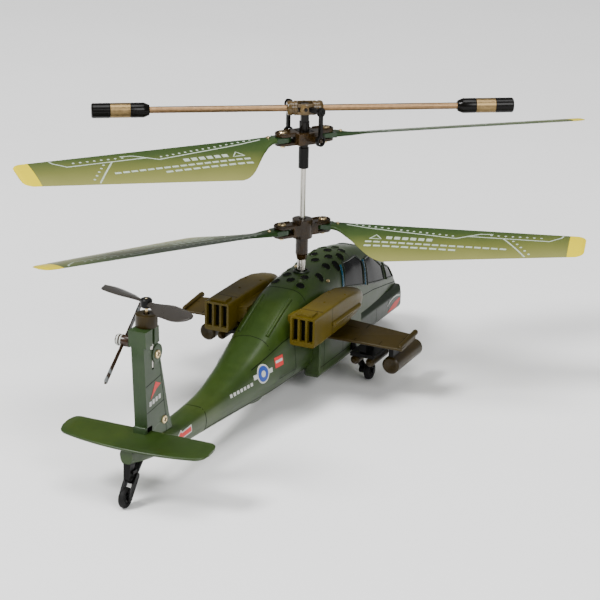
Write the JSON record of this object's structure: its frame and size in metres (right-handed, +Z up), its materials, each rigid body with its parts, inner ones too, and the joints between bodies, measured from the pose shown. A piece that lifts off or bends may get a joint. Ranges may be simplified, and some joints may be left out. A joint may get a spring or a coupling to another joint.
{
  "type": "coaxial toy helicopter",
  "caption": "Small toy helicopter with two coaxial folding-blade rotors, a weighted flybar, a lifting tail propeller, stub wings with stores, engine pods and three-wheel gear.",
  "frame": {"origin": "on the rotor mast's axis, on the ground the three wheels stand on", "axes": "+X to the nose, +Y to port, +Z up along the mast"},
  "size_m": [0.1851, 0.1455, 0.0908],
  "materials": {
    "shell_green": "semi-gloss moulded",
    "pod_tan": "semi-gloss moulded",
    "canopy_tint": "dark tinted, glossy",
    "trim_dark": "matte black",
    "frame_green": "semi-gloss moulded",
    "tyre": "matte",
    "screw": "plated",
    "shaft": "polished",
    "hub_smoke": "smoky moulded",
    "blade_green": "translucent flexible blade",
    "flybar_bronze": "bronze coloured",
    "weight_black": "gloss black",
    "motor_can": "plain",
    "prop_dark": "glossy",
    "bush": "plain",
    "gear_white": "natural",
    "cell": "foil wrapped",
    "board": "solder mask",
    "lamp": "clear tinted"
  },
  "bodies": {
    "airframe": {"left_shell": "shell_green", "right_shell": "shell_green", "roof_panel": "shell_green", "canopy_glass": "canopy_tint", "canopy_frame": "frame_green", "nose_sensor": "frame_green", "left_pod": "pod_tan", "right_pod": "pod_tan", "pod_grilles": "trim_dark", "left_wing": "pod_tan", "right_wing": "pod_tan", "left_rack": "trim_dark", "right_rack": "trim_dark", "missiles": "pod_tan", "left_rocket_pod": "pod_tan", "right_rocket_pod": "pod_tan", "fin_left": "shell_green", "fin_right": "shell_green", "stabilator": "shell_green", "left_gear_leg": "trim_dark", "right_gear_leg": "trim_dark", "tail_gear": "trim_dark", "body_screws": "screw", "tail_motor_housing": "trim_dark", "tail_motor": "motor_can", "dummy_tail_rotor": "trim_dark", "main_frame": "trim_dark", "shaft_bushes": "bush", "motor_front": "motor_can", "motor_rear": "motor_can", "battery": "cell", "circuit_board": "board", "charge_socket": "trim_dark", "status_lamp": "lamp"},
    "lower_rotor": {"outer_shaft": "shaft", "lower_hub": "hub_smoke", "lower_grip_screws": "screw", "gear_lower": "gear_white"},
    "upper_rotor": {"inner_shaft": "shaft", "mast_sleeve": "trim_dark", "rotor_head": "hub_smoke", "gear_upper": "gear_white"},
    "blade_holder": {"upper_holder": "hub_smoke", "upper_grip_screws": "screw"},
    "flybar": {"flybar_hub": "hub_smoke", "flybar_rod": "flybar_bronze", "flybar_weights": "weight_black"},
    "link_a": {"link_a": "trim_dark"},
    "link_b": {"link_b": "trim_dark"},
    "lower_blade_a": {"lower_blade_a": "blade_green"},
    "lower_blade_b": {"lower_blade_b": "blade_green"},
    "upper_blade_a": {"upper_blade_a": "blade_green"},
    "upper_blade_b": {"upper_blade_b": "blade_green"},
    "tail_prop": {"tail_prop": "prop_dark"},
    "left_wheel": {"left_wheel": "tyre"},
    "right_wheel": {"right_wheel": "tyre"},
    "tail_wheel": {"tail_wheel": "tyre"},
    "pinion_front": {"pinion_front": "bush"},
    "pinion_rear": {"pinion_rear": "bush"},
    "power_switch": {"power_switch": "trim_dark"}
  },
  "joints": [
    {"name": "lower_rotor_spin", "type": "hinge", "parent": "airframe", "child": "lower_rotor", "pos_m": [0, 0, 0.05], "axis": [0, 0, 1], "continuous": true},
    {"name": "upper_rotor_spin", "type": "hinge", "parent": "airframe", "child": "upper_rotor", "pos_m": [0, 0, 0.0795], "axis": [0, 0, 1], "continuous": true},
    {"name": "pinion_front_spin", "type": "hinge", "parent": "airframe", "child": "pinion_front", "pos_m": [0.01002, 0, 0.015], "axis": [0, 0, 1], "continuous": true},
    {"name": "pinion_rear_spin", "type": "hinge", "parent": "airframe", "child": "pinion_rear", "pos_m": [-0.01002, 0, 0.011], "axis": [0, 0, 1], "continuous": true},
    {"name": "flybar_teeter", "type": "hinge", "parent": "upper_rotor", "child": "flybar", "pos_m": [0, 0, 0.0885], "axis": [0.8387, 0.5446, 0], "range_deg": [-10, 10]},
    {"name": "holder_feather", "type": "hinge", "parent": "upper_rotor", "child": "blade_holder", "pos_m": [0, 0, 0.0795], "axis": [0.809, -0.5878, 0], "range_deg": [-5.91, 5.91]},
    {"name": "link_a_swing", "type": "hinge", "parent": "flybar", "child": "link_a", "pos_m": [-0.00273, -0.00677, 0.0885], "axis": [0.8387, 0.5446, 0], "range_deg": [-10, 10]},
    {"name": "link_b_swing", "type": "hinge", "parent": "flybar", "child": "link_b", "pos_m": [0.00273, 0.00677, 0.0885], "axis": [0.8387, 0.5446, 0], "range_deg": [-10, 10]},
    {"name": "lower_blade_a_lag", "type": "hinge", "parent": "lower_rotor", "child": "lower_blade_a", "pos_m": [0.00613, -0.00414, 0.05], "axis": [0, 0, 1], "range_deg": [-19, 61]},
    {"name": "lower_blade_b_lag", "type": "hinge", "parent": "lower_rotor", "child": "lower_blade_b", "pos_m": [-0.00613, 0.00414, 0.05], "axis": [0, 0, 1], "range_deg": [-63, 17]},
    {"name": "upper_blade_a_lag", "type": "hinge", "parent": "blade_holder", "child": "upper_blade_a", "pos_m": [0.00599, -0.00435, 0.0795], "axis": [0, 0, 1], "range_deg": [-3, 72]},
    {"name": "upper_blade_b_lag", "type": "hinge", "parent": "blade_holder", "child": "upper_blade_b", "pos_m": [-0.00599, 0.00435, 0.0795], "axis": [0, 0, 1], "range_deg": [-12, 62]},
    {"name": "tail_prop_spin", "type": "hinge", "parent": "airframe", "child": "tail_prop", "pos_m": [-0.0993, 0, 0.0562], "axis": [0, 0, 1], "continuous": true},
    {"name": "left_wheel_roll", "type": "hinge", "parent": "airframe", "child": "left_wheel", "pos_m": [0.01, 0.02, 0.003], "axis": [0, 1, 0], "continuous": true},
    {"name": "right_wheel_roll", "type": "hinge", "parent": "airframe", "child": "right_wheel", "pos_m": [0.01, -0.02, 0.003], "axis": [0, 1, 0], "continuous": true},
    {"name": "tail_wheel_roll", "type": "hinge", "parent": "airframe", "child": "tail_wheel", "pos_m": [-0.1115, 0, 0.003], "axis": [0, 1, 0], "continuous": true},
    {"name": "power_slide", "type": "slide", "parent": "airframe", "child": "power_switch", "axis": [1, 0, 0], "range_m": [-0.0012, 0.0012]}
  ],
  "couplings": [
    {"joint": "pinion_front_spin", "follows": "lower_rotor_spin", "ratio": -5.3333},
    {"joint": "pinion_rear_spin", "follows": "upper_rotor_spin", "ratio": -5.3333},
    {"joint": "holder_feather", "follows": "flybar_teeter", "ratio": 0.59114},
    {"joint": "link_a_swing", "follows": "flybar_teeter", "ratio": -1},
    {"joint": "link_b_swing", "follows": "flybar_teeter", "ratio": -1}
  ]
}
